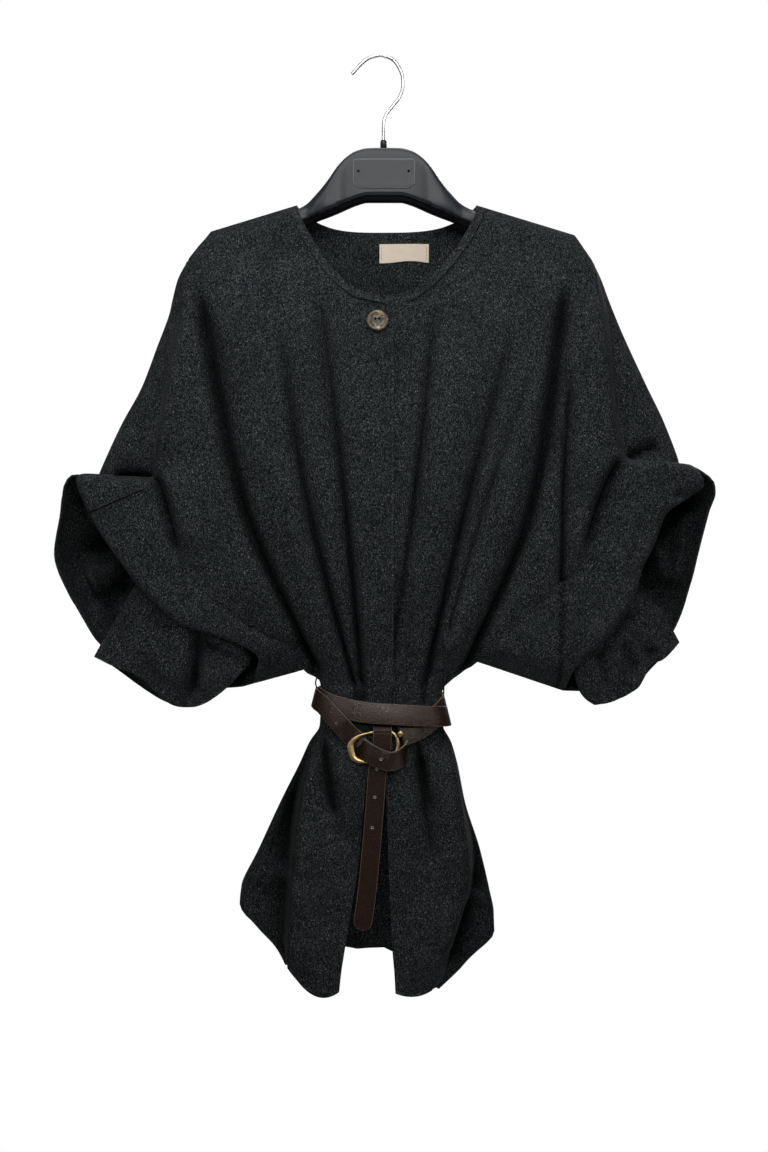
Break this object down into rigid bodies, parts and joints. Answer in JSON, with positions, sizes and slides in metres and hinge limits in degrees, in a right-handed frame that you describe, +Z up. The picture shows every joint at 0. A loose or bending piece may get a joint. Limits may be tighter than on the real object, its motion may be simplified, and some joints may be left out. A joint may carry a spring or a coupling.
{
  "type": "belted poncho on a coat hanger",
  "caption": "Collarless batwing poncho with turned-back arm openings, one button and a knotted leather belt, on a hanger.",
  "frame": {"origin": "inside of the hook's top, where it rests on a clothes rail", "axes": "+Z up along the hanging garment, +Y from its front to its back, +X to the viewer's right, the wearer's left"},
  "size_m": [0.7189, 0.1342, 1.0174],
  "materials": {
    "wool": "brushed wool melange, charcoal with pale flecks",
    "label": "plain woven tape",
    "horn": "polished, mottled like horn",
    "leather": "pebbled dark brown",
    "brass": "aged brass",
    "black_plastic": "satin",
    "chrome": "bright"
  },
  "bodies": {
    "root": {"back": "wool", "front_right": "wool", "front_left": "wool", "neck_band_back": "wool", "neck_band_right": "wool", "neck_band_left": "wool", "cuff_right": "wool", "cuff_left": "wool", "belt_carrier_right": "wool", "belt_carrier_left": "wool", "label": "label", "button": "horn", "belt_first_turn": "leather", "belt_second_turn": "leather", "belt_strap": "leather", "belt_tail": "leather", "buckle": "brass", "buckle_stud": "brass", "hanger_body": "black_plastic", "hanger_plate": "black_plastic", "hanger_socket": "black_plastic", "hanger_hook": "chrome"}
  },
  "joints": []
}
